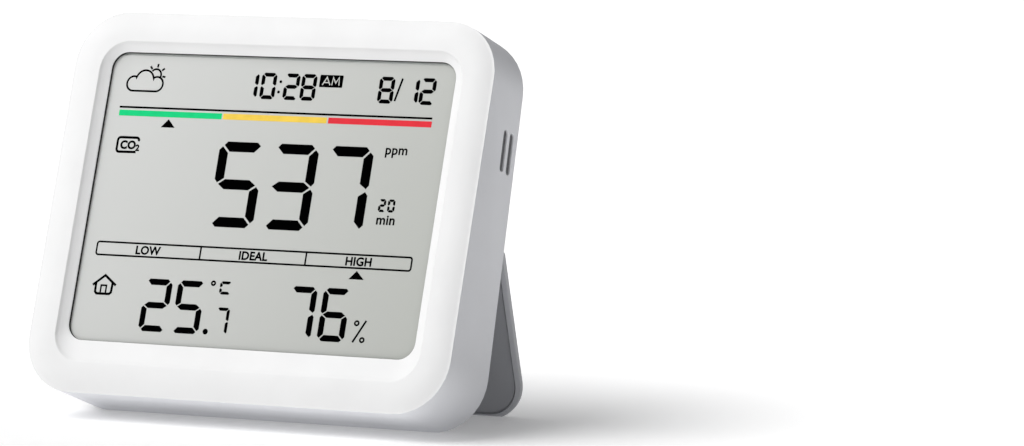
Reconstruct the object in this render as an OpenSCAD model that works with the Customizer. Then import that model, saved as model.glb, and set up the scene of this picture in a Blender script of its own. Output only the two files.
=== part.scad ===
// Desk carbon dioxide monitor with a clock, standing on its battery door's fold-out stand.
// The parts are drawn with the face upright (X right, Y back, Z up, Y = 0 at the crease between
// front cover and housing), then lean() tips the whole instrument back onto the table.

/* [Body] */
// Width of the front cover
body_w = 94; // [92:0.5:96]
// Height of the front cover
body_h = 78; // [77.5:0.1:78.5]
// Corner radius of the outline
corner_r = 11; // [9:0.5:12]
// Depth of the side walls at the bottom
depth_bottom = 18.2; // [18:0.1:18.4]
// Depth of the side walls at the top
depth_top = 13.5; // [13.3:0.1:13.7]
// Wall thickness of the housing
wall = 1.8; // [1.6:0.1:1.9]
// Angle that the face leans back at
lean_deg = 19.2; // [18:0.1:20]

/* [Front cover] */
// Height of the crowned bezel in front of the crease
crown_h = 0.9; // [0.5:0.1:1.5]
// Width of the crowned bezel band
bezel_w = 6.3; // [5.5:0.1:6.5]
// Width of the display window
window_w = 77.3; // [76:0.1:78]
// Lower edge of the display window above the bottom
window_z0 = 10.7; // [10:0.1:11]
// Upper edge of the display window above the bottom
window_z1 = 69.9; // [69:0.1:70]
// Corner radius of the display window
window_r = 3.5; // [3:0.1:4]

/* [Stand] */
// Angle between the open and the folded stand
stand_open_deg = 35.7; // [33:0.1:36]
// Width of the stand
stand_w = 87.7; // [85:0.1:89]
// Thickness of the stand at its rim
stand_t = 1.7; // [1.5:0.1:2]
// Width of the raised rim on the inner face
stand_rim = 1.0; // [0.8:0.1:1.5]
// Radius of the hinge pins
pin_r = 0.75; // [0.6:0.05:0.9]

/* [Batteries] */
// Diameter of a cell
cell_d = 14.5; // [14:0.1:14.5]
// Length of a cell over its nipple
cell_len = 50.5; // [49:0.1:50.5]

/* [Hidden] */

$fn = 48;
// Thin slice for hulls and overlaps, gap between fitted parts, gap round turning parts.
eps = 0.01;
fit_gap = 0.2;
run_gap = 0.06;
// Long enough to cut right through any part.
through = 30;

// Back face: a plane that comes forward towards the top.
back_tilt = atan((depth_bottom - depth_top) / body_h);
function back_y(z) = depth_bottom - z * tan(back_tilt);

// Rounded rear edge, and the flat where it stands on the table.
rear_r = 1.0;
rest_sink = 0.2;
rest_y = depth_bottom - rear_r + (rear_r - rest_sink) * sin(lean_deg);
rest_z = rear_r - (rear_r - rest_sink) * cos(lean_deg);

// Layers behind the window, measured from the crease plane.
dish_floor_y = 0.35;
lip_y = 0.8;
glass_y0 = 0.95;
glass_y1 = 1.1;
glass_y2 = 2.2;
reflector_y = 2.45;
frame_y0 = 2.6;
frame_y1 = 3.6;
board_y0 = 5.4;
board_y1 = 6.6;

// Display glass, with a bare ledge along its top where the zebra strip meets the front pane.
glass_w = 80.4;
glass_z0 = 8.6;
glass_z1 = 72;
glass_ledge = 2.6;
film_inset = 0.5;
strip_w = 68;
strip_h = 1.8;

// Ridge of the bezel, where the sloped recess round the display begins.
dish_side = 2.0;
dish_top = 1.9;
dish_bottom = 4.5;
dish_r = 6;

// Screws that hold the cover and the housing together.
boss_x = 42.8;
boss_z = [12, 66];
boss_r = 2.0;
boss_y = 6.0;
post_r = 2.7;
screw_r = 0.85;
screw_head_r = 1.8;
screw_seat_y = 8.2;
// Cross recess of a screw head: half its length and half its width.
cross_half = 1.1;
cross_slot = 0.22;

// Frame that carries the display, the board and the battery bay.
frame_w = 81;
frame_z0 = 4.2;
frame_z1 = 74.4;
frame_r = 5;

// Main board and its screws.
board_w = 70;
board_z0 = 38;
board_z1 = 73;
board_screw_x = 31;
board_screw_z = [42, 66];

// Battery bay.
cell_y = 12.6;
cell_z = [10.6, 25.4];
bay_x = 27.6;
bay_wall = 1.2;
bay_z0 = 3.1;
bay_z1 = 33.1;
bay_depth = 15;
contact_t = 0.4;

// Battery door: a flange on the back face, and a bulge over the cells.
flange_w = 79.6;
flange_z0 = 2;
flange_z1 = 43;
flange_r = 5;
flange_t = 1.4;
flange_lift = 0.05;
bulge_w = 62;
bulge_z0 = 2.4;
bulge_z1 = 33.5;
bulge_y = 21.1;
bulge_r = 3;
bulge_edge = 2;
bulge_wall = 1.1;

// Stand hinge, folded position.
stand_y1 = 23.0;
stand_y0 = stand_y1 - stand_t;
knuckle_r = 1.8;
hinge_y = stand_y1 - knuckle_r;
hinge_z = 35.95;
stand_z0 = 1.35;
stand_notch_z = 33.7;
stand_notch_w = 71;
stand_pocket = 0.6;
stand_low_r = 8;
stand_top_r = 1.6;
barrel_x = [24, 32];
lug_t = 2.5;
lug_gap = 0.15;

// Side vents.
vent_w = 1.6;
vent_len = 8.2;
vent_z = 54.8;
vent_y = [8.7, 11.5];
screen_y = [7.6, 12.6];

// Controls and socket.
refresh_x = 20;
refresh_y = 7.0;
refresh_len = 14;
refresh_w = 4;
refresh_rise = 0.5;
refresh_z0 = 74.1;
unit_z = 62;
unit_r = 2.4;
unit_y0 = 9.5;
button_sink = 0.3;
plunger_offset = 1.1;
usb_x = -8;
usb_z = 52;
usb_w = 8.9;
usb_h = 3.2;

// ---- frames and outlines ----

module lean() {
    rotate([-lean_deg, 0, 0])
        translate([0, -rest_y, -rest_z])
            children();
}

// A flat outline in X and Z, thickened from y0 to y1.
module plate(y0, y1) {
    translate([0, y1, 0])
        rotate([90, 0, 0])
            linear_extrude(y1 - y0)
                children();
}

// The same, on the sloping back face: y counts from that face.
module back_plate(y0, y1) {
    translate([0, depth_bottom, 0])
        rotate([back_tilt, 0, 0])
            plate(y0, y1)
                children();
}

module round_rect(w, z0, z1, r) {
    translate([-w / 2 + r, z0])
        square([w - 2 * r, z1 - z0]);
    translate([-w / 2, z0 + r])
        square([w, z1 - z0 - 2 * r]);
    for (x = [-1, 1] * (w / 2 - r), z = [z0 + r, z1 - r])
        translate([x, z])
            circle(r);
}

module outline(inset) {
    round_rect(body_w - 2 * inset, inset, body_h - inset, corner_r - inset);
}

module box(x0, x1, y0, y1, z0, z1) {
    translate([x0, y0, z0])
        cube([x1 - x0, y1 - y0, z1 - z0]);
}

// A round bar or bore along Y.
module bar_y(x, z, y0, y1, r) {
    translate([x, y1, z])
        rotate([90, 0, 0])
            cylinder(h = y1 - y0, r = r);
}

// A round bar or bore along X.
module bar_x(x0, x1, y, z, r) {
    translate([x0, y, z])
        rotate([0, 90, 0])
            cylinder(h = x1 - x0, r = r);
}

// Everything under the table top.
module below_table() {
    size = 200;
    translate([-size / 2, -size / 2, -size])
        cube(size);
}

// The same shape at both sides of the middle.
module both_sides() {
    for (flip = [0, 1])
        mirror([flip, 0, 0])
            children();
}

module pill(len, w) {
    square([len - w, w], center = true);
    for (x = [-1, 1] * (len - w) / 2)
        translate([x, 0])
            circle(w / 2);
}

module boss_places() {
    for (x = [-1, 1] * boss_x, z = boss_z)
        translate([x, 0, z])
            children();
}

module board_screw_places() {
    for (x = [-1, 1] * board_screw_x, z = board_screw_z)
        translate([x, 0, z])
            children();
}

// Cross recess cut into a screw head from y0.
module cross_recess(y0) {
    box(-cross_half, cross_half, y0, y0 + through, -cross_slot, cross_slot);
    box(-cross_slot, cross_slot, y0, y0 + through, -cross_half, cross_half);
}

// ---- front cover ----

module crown() {
    steps = 6;
    hull()
        for (i = [0:steps]) {
            s = i / steps;
            y = -crown_h * (1 - pow(1 - s, 2));
            plate(y, y + eps)
                outline(s * bezel_w);
        }
}

module window_outline(grow) {
    round_rect(window_w + 2 * grow, window_z0 - grow, window_z1 + grow, window_r + grow);
}

module dish_cut() {
    hull() {
        plate(dish_floor_y - eps, dish_floor_y)
            window_outline(0);
        plate(-crown_h - eps, -crown_h)
            round_rect(window_w + 2 * dish_side, window_z0 - dish_bottom, window_z1 + dish_top, dish_r);
    }
}

module front_cover_upright() {
    tongue = 3.4;
    tongue_t = 1.2;
    face_y = 1.4;
    seat_gap = 0.3;
    seat_r = 1;
    pilot_y = 1.2;
    inset = wall + fit_gap;
    difference() {
        union() {
            crown();
            plate(0, tongue)
                outline(inset);
            boss_places()
                bar_y(0, 0, 0, boss_y, boss_r);
        }
        dish_cut();
        plate(-through, through)
            window_outline(0);
        // Seat for the display glass.
        plate(lip_y, through)
            round_rect(glass_w + 2 * seat_gap, glass_z0 - seat_gap, glass_z1 + seat_gap, seat_r);
        // Hollow behind the face, inside the tongue, round the bosses.
        difference() {
            plate(face_y, through)
                outline(inset + tongue_t);
            boss_places()
                bar_y(0, 0, 0, boss_y, boss_r);
        }
        boss_places()
            bar_y(0, 0, pilot_y, through, screw_r + run_gap);
    }
}

module front_cover() {
    color("white")
        lean()
            front_cover_upright();
}

// ---- rear housing ----

module housing_skin() {
    crease_gap = 0.02;
    hull() {
        plate(crease_gap, crease_gap + eps)
            outline(0);
        for (a = [0:30:90])
            back_plate(-rear_r + rear_r * sin(a) - eps, -rear_r + rear_r * sin(a))
                outline(rear_r - rear_r * cos(a));
    }
}

module housing_hollow() {
    hull() {
        plate(-wall, 0)
            outline(wall);
        back_plate(-wall - eps, -wall)
            outline(wall);
    }
}

module vent_slot(side, y) {
    translate([side * (body_w / 2 - wall / 2), y, vent_z])
        rotate([90, 0, 90])
            translate([0, 0, -wall])
                linear_extrude(2 * wall)
                    rotate(90 + back_tilt)
                        pill(vent_len, vent_w);
}

module rear_housing_upright() {
    post_y = boss_y + 0.1;
    post_inset = 0.5;
    screw_gap = 0.25;
    opening_r = 2;
    difference() {
        union() {
            difference() {
                housing_skin();
                housing_hollow();
            }
            // Screw posts, kept inside the skin.
            intersection() {
                boss_places()
                    bar_y(0, 0, post_y, depth_bottom, post_r);
                back_plate(-through, -post_inset)
                    outline(post_inset);
            }
        }
        boss_places() {
            bar_y(0, 0, 0, through, screw_r + screw_gap);
            bar_y(0, 0, screw_seat_y, through, screw_head_r + screw_gap);
        }
        // Opening of the battery bay.
        back_plate(-2 * wall, wall)
            round_rect(bulge_w - 1.5, bulge_z0 + 1, bulge_z1 + 2.5, opening_r);
        for (side = [-1, 1], y = vent_y)
            vent_slot(side, y);
        // Refresh button, through the top wall.
        translate([refresh_x, refresh_y, body_h - 2 * wall])
            linear_extrude(4 * wall)
                pill(refresh_len + 2 * fit_gap, refresh_w + 2 * fit_gap);
        // Unit button and socket, through the back.
        bar_y(0, unit_z, unit_y0, through, unit_r + fit_gap);
        translate([usb_x, 0, usb_z])
            plate(unit_y0, through)
                pill(usb_w + 2 * fit_gap, usb_h + 2 * fit_gap);
    }
}

module rear_housing() {
    color("gainsboro")
        difference() {
            lean()
                rear_housing_upright();
            below_table();
        }
}

// ---- display ----

module display_bezel_tape() {
    tape_r = 0.8;
    tape_gap = 0.15;
    color("dimgray")
        lean()
            plate(lip_y + eps, glass_y0)
                difference() {
                    round_rect(glass_w, glass_z0, glass_z1, tape_r);
                    window_outline(tape_gap);
                }
}

// A film a little smaller than the glass that it lies on; ledge is left bare at the top.
module film(ledge) {
    film_r = 0.4;
    round_rect(glass_w - 2 * film_inset, glass_z0 + film_inset, glass_z1 - ledge, film_r);
}

module display_polariser() {
    color("lightgray")
        lean()
            plate(glass_y0, glass_y1)
                film(glass_ledge);
}

module display_glass() {
    pane = (glass_y2 - glass_y1) / 2;
    pane_r = 0.3;
    color("azure")
        lean() {
            plate(glass_y1, glass_y1 + pane)
                round_rect(glass_w, glass_z0, glass_z1, pane_r);
            plate(glass_y1 + pane, glass_y2)
                round_rect(glass_w, glass_z0, glass_z1 - glass_ledge, pane_r);
        }
}

module display_reflector() {
    color("whitesmoke")
        lean()
            plate(glass_y2, reflector_y)
                film(glass_ledge + 0.8);
}

module zebra_strip() {
    color("pink")
        lean()
            box(-strip_w / 2, strip_w / 2, (glass_y1 + glass_y2) / 2, board_y0,
                glass_z1 - film_inset - strip_h, glass_z1 - film_inset);
}

// ---- chassis ----

module mid_frame_upright() {
    post_r = 2.2;
    slot_gap = 0.4;
    difference() {
        union() {
            plate(frame_y0, frame_y1)
                round_rect(frame_w, frame_z0, frame_z1, frame_r);
            // Walls of the battery bay.
            difference() {
                box(-bay_x - bay_wall, bay_x + bay_wall, frame_y0, bay_depth, bay_z0, bay_z1 + bay_wall);
                box(-bay_x, bay_x, frame_y1, through, 0, bay_z1);
            }
            board_screw_places()
                bar_y(0, 0, frame_y0, board_y0, post_r);
        }
        board_screw_places()
            bar_y(0, 0, 0, through, screw_r + run_gap);
        // Slot for the zebra strip.
        box(-strip_w / 2 - slot_gap, strip_w / 2 + slot_gap, 0, through, glass_z1 - glass_ledge,
            glass_z1 - film_inset + slot_gap);
    }
}

module mid_frame() {
    color("darkgray")
        lean()
            mid_frame_upright();
}

// ---- electronics ----

module main_board() {
    board_r = 1.5;
    screw_gap = 0.25;
    color("darkgreen")
        lean()
            difference() {
                plate(board_y0, board_y1)
                    round_rect(board_w, board_z0, board_z1, board_r);
                board_screw_places()
                    bar_y(0, 0, 0, through, screw_r + screw_gap);
            }
}

module co2_sensor() {
    size = 10.1;
    x0 = 23;
    z0 = 47;
    height = 5.8;
    port_r = 1.6;
    port_depth = 0.5;
    color("silver")
        lean()
            difference() {
                box(x0, x0 + size, board_y1, board_y1 + height, z0, z0 + size);
                // Membrane opening in the cap.
                bar_y(x0 + size / 2, z0 + size / 2, board_y1 + height - port_depth, through, port_r);
            }
}

module wireless_module() {
    x = [-28, -15];
    z = [45, 61];
    base_t = 0.8;
    shield_y = board_y1 + 3;
    shield_inset = 0.8;
    antenna = 5;
    color("lightsteelblue")
        lean() {
            box(x[0], x[1], board_y1, board_y1 + base_t, z[0], z[1]);
            box(x[0] + shield_inset, x[1] - shield_inset, board_y1 + base_t - eps, shield_y,
                z[0] + shield_inset, z[1] - antenna);
        }
}

module humidity_sensor() {
    centre = [-27.25, 69.75];
    half = 1.25;
    height = 0.9;
    port_depth = 0.3;
    port_r = 0.5;
    color("black")
        lean()
            translate([centre[0], board_y1, centre[1]])
                difference() {
                    box(-half, half, 0, height, -half, half);
                    bar_y(0, 0, height - port_depth, through, port_r);
                }
}

module buzzer() {
    centre = [6, 48];
    radius = 4.5;
    height = 2.4;
    port_depth = 1;
    port_r = 0.8;
    color("black")
        lean()
            translate([centre[0], board_y1, centre[1]])
                difference() {
                    bar_y(0, 0, 0, height, radius);
                    bar_y(0, 0, height - port_depth, through, port_r);
                }
}

module usb_socket() {
    depth = 6.5;
    shell_t = 0.3;
    base_half = [4.9, 1.9];
    base_t = 0.85;
    tongue_half = [3.2, 0.35];
    tongue_sink = 0.9;
    y1 = back_y(usb_z) - button_sink;
    color("silver")
        lean()
            translate([usb_x, 0, usb_z]) {
                difference() {
                    plate(board_y1 + base_t / 2, y1)
                        pill(usb_w, usb_h);
                    plate(y1 - depth, through)
                        pill(usb_w - 2 * shell_t, usb_h - 2 * shell_t);
                }
                // Insulating base on the board, and the contact tongue.
                box(-base_half[0], base_half[0], board_y1, board_y1 + base_t, -base_half[1], base_half[1]);
                box(-tongue_half[0], tongue_half[0], board_y1 + base_t, y1 - tongue_sink,
                    -tongue_half[1], tongue_half[1]);
            }
}

// ---- buttons and their switches ----

module refresh_button() {
    collar = 1;
    collar_z = 75;
    collar_t = 0.9;
    color("white")
        lean()
            translate([refresh_x, refresh_y, 0]) {
                translate([0, 0, refresh_z0])
                    linear_extrude(body_h + refresh_rise - refresh_z0)
                        pill(refresh_len, refresh_w);
                translate([0, 0, collar_z])
                    linear_extrude(collar_t)
                        pill(refresh_len + 2 * collar, refresh_w + 2 * collar);
            }
}

module refresh_plunger() {
    travel_z = 71.9;
    color("black")
        lean()
            translate([refresh_x, refresh_y + plunger_offset, travel_z])
                cylinder(h = refresh_z0 - travel_z, r = 0.8);
}

module refresh_switch() {
    half = 3;
    height = 3;
    z = [68.6, 72.8];
    well_depth = 1.6;
    color("silver")
        lean()
            difference() {
                box(refresh_x - half, refresh_x + half, board_y1, board_y1 + height, z[0], z[1]);
                translate([refresh_x, refresh_y + plunger_offset, z[1] - well_depth])
                    cylinder(h = through, r = 0.9);
            }
}

module unit_button() {
    collar = 0.9;
    collar_y = [11.2, 11.9];
    color("white")
        lean() {
            bar_y(0, unit_z, unit_y0, back_y(unit_z) - button_sink, unit_r);
            bar_y(0, unit_z, collar_y[0], collar_y[1], unit_r + collar);
        }
}

module unit_plunger() {
    travel_y = 8.3;
    color("black")
        lean()
            bar_y(0, unit_z, travel_y, unit_y0, 1.05);
}

module unit_switch() {
    half = 2.25;
    height = 2.2;
    well_y = 7.5;
    color("silver")
        lean()
            difference() {
                box(-half, half, board_y1, board_y1 + height, unit_z - half, unit_z + half);
                bar_y(0, unit_z, well_y, through, 1.15);
            }
}

// ---- batteries ----

module cell(z, side) {
    nipple = 1.2;
    nipple_r = 2.6;
    slack = 0.05;
    translate([0, cell_y, z])
        rotate([0, 90 * side, 0])
            translate([0, 0, -cell_len / 2]) {
                cylinder(h = cell_len - nipple, r = cell_d / 2 - slack);
                cylinder(h = cell_len, r = nipple_r);
            }
}

module battery_upper() {
    color("dimgray")
        lean()
            cell(cell_z[1], 1);
}

module battery_lower() {
    color("dimgray")
        lean()
            cell(cell_z[0], -1);
}

contact_x = bay_x - 0.35;

module contact_pair(side) {
    leaf = 9;
    bump_h = 1.6;
    bump_r = 2;
    for (z = cell_z)
        translate([side * contact_x, cell_y, z]) {
            cube([contact_t, leaf, leaf], center = true);
            // Pressed bump that touches the cell.
            translate([-side * 0.9, 0, 0])
                rotate([0, 90, 0])
                    cylinder(h = bump_h, r = bump_r, center = true);
        }
}

// The left contacts are joined, so that the two cells are in series.
module battery_contacts_left() {
    link = [contact_t, 4, 8];
    color("silver")
        lean() {
            contact_pair(-1);
            translate([-contact_x, cell_y, (cell_z[0] + cell_z[1]) / 2])
                cube(link, center = true);
        }
}

module battery_contacts_right() {
    color("silver")
        lean()
            contact_pair(1);
}

// ---- battery door and stand ----

// Solid of the bulge over the cells, with a rounded edge; inset draws its inside.
module door_bulge(inset) {
    root_y = 16.5;
    edge_y = bulge_y - bulge_edge;
    hull() {
        plate(root_y, edge_y)
            round_rect(bulge_w - 2 * inset, bulge_z0 + inset, bulge_z1 - inset, bulge_r - inset);
        for (a = [30:30:90]) {
            y = edge_y + (bulge_edge - inset) * sin(a);
            shrink = inset + bulge_edge * (1 - cos(a));
            plate(y - eps, y)
                round_rect(bulge_w - 2 * shrink, bulge_z0 + shrink, bulge_z1 - shrink, bulge_r - inset);
        }
    }
}

module door_lug(x) {
    lug_r = knuckle_r - 0.1;
    foot_y = back_y(hinge_z) + 0.8;
    difference() {
        union() {
            bar_x(x, x + lug_t, hinge_y, hinge_z, lug_r);
            box(x, x + lug_t, foot_y, hinge_y, hinge_z - lug_r, hinge_z + lug_r);
        }
        bar_x(x - 1, x + lug_t + 1, hinge_y, hinge_z, pin_r + eps);
    }
}

module battery_door_upright() {
    inner_x = bulge_w / 2 - bulge_wall;
    inner_y = 17.6;
    difference() {
        union() {
            back_plate(flange_lift, flange_t)
                round_rect(flange_w, flange_z0, flange_z1, flange_r);
            door_bulge(0);
        }
        door_bulge(bulge_wall);
        // Clear the cells behind the flange, and the housing inside it.
        box(-inner_x, inner_x, 0, inner_y, bulge_z0 + bulge_wall, bulge_z1 - bulge_wall);
        back_plate(-through, flange_lift)
            round_rect(flange_w, 0, flange_z1, flange_r);
    }
    both_sides()
        for (x = [barrel_x[0] - lug_gap - lug_t, barrel_x[1] + lug_gap])
            door_lug(x);
}

module battery_door() {
    color("gainsboro")
        lean()
            battery_door_upright();
}

// The stand is drawn folded, then opened about its hinge.
module open_stand() {
    translate([0, hinge_y, hinge_z])
        rotate([stand_open_deg, 0, 0])
            translate([0, -hinge_y, -hinge_z])
                children();
}

module stand_outline(inset) {
    w = stand_w - 2 * inset;
    low_r = stand_low_r - inset;
    notch_w = stand_notch_w + 2 * inset;
    z0 = stand_z0 + inset;
    z1 = hinge_z + knuckle_r - inset;
    difference() {
        union() {
            round_rect(w, z0, z1 - stand_low_r, low_r);
            round_rect(w, z0 + 2 * low_r, z1, stand_top_r);
        }
        translate([-notch_w / 2, stand_notch_z - inset])
            square([notch_w, through]);
    }
}

module stand_folded() {
    difference() {
        union() {
            plate(stand_y0, stand_y1)
                stand_outline(0);
            both_sides() {
                bar_x(barrel_x[0], barrel_x[1], hinge_y, hinge_z, knuckle_r);
                box(barrel_x[0], barrel_x[1], hinge_y, stand_y1, stand_notch_z - 1, hinge_z);
            }
        }
        plate(stand_y0 - 1, stand_y0 + stand_pocket)
            stand_outline(stand_rim);
        both_sides()
            bar_x(barrel_x[0] - 1, barrel_x[1] + 1, hinge_y, hinge_z, pin_r + run_gap);
    }
}

module stand() {
    color("gray")
        difference() {
            lean()
                open_stand()
                    stand_folded();
            below_table();
        }
}

module hinge_pins() {
    over = lug_gap + lug_t;
    color("silver")
        lean()
            both_sides()
                bar_x(barrel_x[0] - over, barrel_x[1] + over, hinge_y, hinge_z, pin_r);
}

// ---- fasteners and screens ----

module case_screws() {
    head_t = 1.4;
    recess_y = screw_seat_y + 0.6;
    tip_y = 2;
    color("silver")
        lean()
            boss_places() {
                bar_y(0, 0, tip_y, screw_seat_y + eps, screw_r);
                difference() {
                    bar_y(0, 0, screw_seat_y, screw_seat_y + head_t, screw_head_r);
                    cross_recess(recess_y);
                }
            }
}

module board_screws() {
    head_t = 1.1;
    recess_y = board_y1 + 0.5;
    tip_y = frame_y0 + 0.2;
    color("silver")
        lean()
            board_screw_places() {
                bar_y(0, 0, tip_y, board_y1 + eps, screw_r);
                difference() {
                    bar_y(0, 0, board_y1, board_y1 + head_t, screw_head_r);
                    cross_recess(recess_y);
                }
            }
}

module vent_screens() {
    x1 = body_w / 2 - wall - 0.05;
    screen_t = 0.35;
    half_len = 5.4;
    color("darkslategray")
        lean()
            both_sides()
                box(x1 - screen_t, x1, screen_y[0], screen_y[1], vent_z - half_len, vent_z + half_len);
}

front_cover();
rear_housing();
display_bezel_tape();
display_polariser();
display_glass();
display_reflector();
zebra_strip();
mid_frame();
main_board();
co2_sensor();
wireless_module();
humidity_sensor();
buzzer();
usb_socket();
refresh_button();
refresh_plunger();
refresh_switch();
unit_button();
unit_plunger();
unit_switch();
battery_upper();
battery_lower();
battery_contacts_left();
battery_contacts_right();
battery_door();
stand();
hinge_pins();
case_screws();
board_screws();
vent_screens();
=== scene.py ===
import math

import bmesh
import bpy
from mathutils import Matrix, Vector


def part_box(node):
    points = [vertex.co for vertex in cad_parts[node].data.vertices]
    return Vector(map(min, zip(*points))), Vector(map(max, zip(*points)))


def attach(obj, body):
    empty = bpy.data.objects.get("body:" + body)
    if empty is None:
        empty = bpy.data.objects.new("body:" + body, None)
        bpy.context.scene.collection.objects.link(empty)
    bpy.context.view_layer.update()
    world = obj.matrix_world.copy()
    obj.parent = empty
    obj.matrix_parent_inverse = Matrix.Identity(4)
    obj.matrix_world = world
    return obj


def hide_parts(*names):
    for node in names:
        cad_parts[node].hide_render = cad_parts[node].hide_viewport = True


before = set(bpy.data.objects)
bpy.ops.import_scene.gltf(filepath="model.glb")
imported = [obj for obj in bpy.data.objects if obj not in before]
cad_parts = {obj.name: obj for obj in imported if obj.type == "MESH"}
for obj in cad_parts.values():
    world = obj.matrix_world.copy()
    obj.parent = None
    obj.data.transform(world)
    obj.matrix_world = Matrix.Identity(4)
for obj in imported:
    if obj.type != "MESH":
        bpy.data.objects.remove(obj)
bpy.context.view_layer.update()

# ---------------------------------------------------------------- the shared frame
# Shapes are drawn in millimetres with the face upright: X right, Y back, Z up, Y = 0 at the
# crease between cover and housing. UPRIGHT leans them back and scales them to metres.

MM = 0.001
LEAN = math.radians(19.2)
BODY_W = (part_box("rear_housing")[1].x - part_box("rear_housing")[0].x) / MM
BODY_H = 78.0              # along the face
CORNER_R = 11.0
DEPTH_BOTTOM = 18.2        # depth of the housing at the two ends of its sloped back
DEPTH_TOP = 13.5
BACK_SLOPE = (DEPTH_BOTTOM - DEPTH_TOP) / BODY_H
BACK_TILT = math.atan(BACK_SLOPE)
REAR_R = 1.0               # round on the housing's back edge
REST_SINK = 0.2            # how far that round is cut flat on the table
REST_Y = DEPTH_BOTTOM - REAR_R + (REAR_R - REST_SINK) * math.sin(LEAN)
REST_Z = REAR_R - (REAR_R - REST_SINK) * math.cos(LEAN)

UPRIGHT = (Matrix.Scale(MM, 4) @ Matrix.Rotation(-LEAN, 4, "X")
           @ Matrix.Translation((0.0, -REST_Y, -REST_Z)))

HINGE_Y = 21.2
HINGE_Z = 35.95
STAND_OPEN = math.radians(35.7)
OPEN_STAND = (UPRIGHT @ Matrix.Translation((0.0, HINGE_Y, HINGE_Z))
              @ Matrix.Rotation(STAND_OPEN, 4, "X")
              @ Matrix.Translation((0.0, -HINGE_Y, -HINGE_Z)))

WINDOW_W = 77.3
WINDOW_Z0 = 10.7
WINDOW_Z1 = 69.9
WINDOW_R = 3.5
LIP_Y = 0.8                # back of the window's lip
FACE_Y = 0.95              # front of the display's film


def back_y(z):
    """Depth of the sloped back at a height."""
    return DEPTH_BOTTOM - BACK_SLOPE * z


# ---------------------------------------------------------------- materials

def new_material(name, rough, metal=0.0, coat=0.0, coat_rough=0.2, spec=0.5):
    mat = bpy.data.materials.new(name)
    mat.use_nodes = True
    shader = mat.node_tree.nodes["Principled BSDF"]
    shader.inputs["Roughness"].default_value = rough
    shader.inputs["Metallic"].default_value = metal
    shader.inputs["Coat Weight"].default_value = coat
    shader.inputs["Coat Roughness"].default_value = coat_rough
    shader.inputs["Specular IOR Level"].default_value = spec
    return mat, mat.node_tree, shader


def noise(tree, scale, detail=2.0, rough=0.5):
    """Noise in object coordinates; scale is in features per metre."""
    coords = tree.nodes.new("ShaderNodeTexCoord")
    tex = tree.nodes.new("ShaderNodeTexNoise")
    tex.inputs["Scale"].default_value = scale
    tex.inputs["Detail"].default_value = detail
    tex.inputs["Roughness"].default_value = rough
    tree.links.new(coords.outputs["Object"], tex.inputs["Vector"])
    return tex.outputs["Fac"]


def ramp(tree, fac, stops, stepped=False):
    node = tree.nodes.new("ShaderNodeValToRGB")
    if stepped:
        node.color_ramp.interpolation = "CONSTANT"
    while len(node.color_ramp.elements) < len(stops):
        node.color_ramp.elements.new(0.5)
    for element, (at, colour) in zip(node.color_ramp.elements, stops):
        element.position = at
        element.color = (*colour, 1.0)
    tree.links.new(fac, node.inputs["Fac"])
    return node.outputs["Color"]


def remap(tree, value, low, high):
    node = tree.nodes.new("ShaderNodeMapRange")
    node.inputs["To Min"].default_value = low
    node.inputs["To Max"].default_value = high
    tree.links.new(value, node.inputs["Value"])
    return node.outputs["Result"]


def bump(tree, shader, height, strength, distance):
    node = tree.nodes.new("ShaderNodeBump")
    node.inputs["Strength"].default_value = strength
    node.inputs["Distance"].default_value = distance
    tree.links.new(height, node.inputs["Height"])
    tree.links.new(node.outputs["Normal"], shader.inputs["Normal"])


def tint(colour, factor):
    return tuple(min(1.0, c * factor) for c in colour)


def plastic(name, colour, rough=0.45, grain=0.12, grain_size=0.00028, mottle=0.02, spec=0.45):
    """Moulded plastic: fine spark-eroded grain, faint mottling and uneven sheen."""
    mat, tree, shader = new_material(name, rough, spec=spec)
    cloud = noise(tree, 1 / 0.012, 3.0)
    shades = [(0.3, tint(colour, 1 - mottle)), (0.7, tint(colour, 1 + mottle))]
    tree.links.new(ramp(tree, cloud, shades), shader.inputs["Base Color"])
    sheen = noise(tree, 1 / 0.004, 2.0)
    tree.links.new(remap(tree, sheen, rough - 0.05, rough + 0.05), shader.inputs["Roughness"])
    bump(tree, shader, noise(tree, 1 / grain_size, 2.0, 0.6), grain, 0.00002)
    return mat


def metal(name, colour, rough=0.3, streak=0.06):
    """Plated sheet metal with a rolled, slightly uneven finish."""
    mat, tree, shader = new_material(name, rough, metal=1.0)
    spots = noise(tree, 1 / 0.0016, 4.0)
    tree.links.new(ramp(tree, spots, [(0.3, tint(colour, 0.9)), (0.75, tint(colour, 1.05))]),
                   shader.inputs["Base Color"])
    tree.links.new(remap(tree, noise(tree, 1 / 0.0006, 3.0), rough - streak, rough + streak),
                   shader.inputs["Roughness"])
    bump(tree, shader, noise(tree, 1 / 0.0003, 2.0), 0.08, 0.00001)
    return mat


def ink(name, colour, rough=0.6):
    """Printed or liquid-crystal figure: nearly flat, with a faint uneven density."""
    mat, tree, shader = new_material(name, rough, spec=0.0)
    density = noise(tree, 1 / 0.002, 2.0)
    tree.links.new(ramp(tree, density, [(0.3, tint(colour, 0.95)), (0.7, tint(colour, 1.04))]),
                   shader.inputs["Base Color"])
    return mat


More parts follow.
